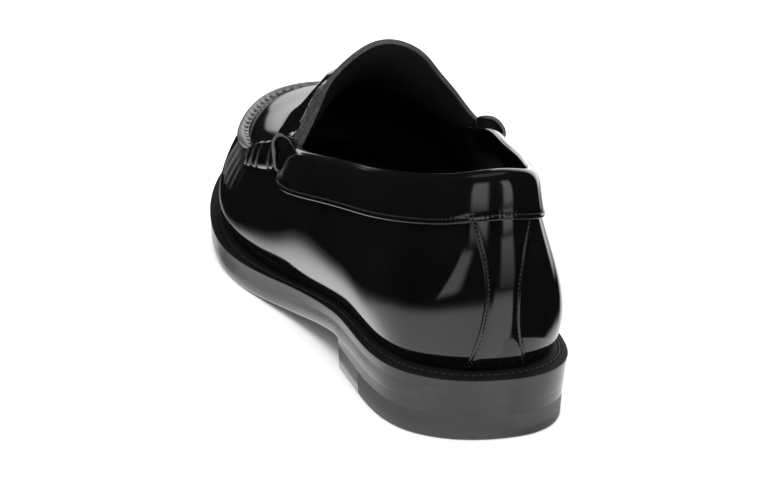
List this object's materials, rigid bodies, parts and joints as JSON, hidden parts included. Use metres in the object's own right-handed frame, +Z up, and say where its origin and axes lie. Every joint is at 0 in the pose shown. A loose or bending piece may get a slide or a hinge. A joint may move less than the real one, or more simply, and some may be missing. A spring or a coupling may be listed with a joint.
{
  "type": "loafer",
  "caption": "Left slip-on leather loafer: raised apron seam, saddle strap with rolled ends, high tongue, collar band, welted sole and stacked heel.",
  "frame": {"origin": "on the floor, at the middle of the shoe's box in plan", "axes": "+Y towards the toe, +X to the wearer's right, which is the medial side of this left shoe, +Z up"},
  "size_m": [0.101, 0.2879, 0.0955],
  "materials": {
    "polished_leather": "black leather brushed to a high shine",
    "sole_leather": "black edge-dressed sole leather, satin, with fine layer lines",
    "heel_rubber": "matte black rubber",
    "lining": "matte black lining leather"
  },
  "bodies": {
    "root": {"upper": "polished_leather", "tongue": "polished_leather", "saddle_strap": "polished_leather", "apron_seam": "polished_leather", "collar_band": "polished_leather", "back_strip": "polished_leather", "roll_lateral": "polished_leather", "roll_medial": "polished_leather", "outsole": "sole_leather", "welt": "sole_leather", "heel_stack": "sole_leather", "top_lift_front": "sole_leather", "top_lift": "heel_rubber", "insole": "lining"}
  },
  "joints": []
}
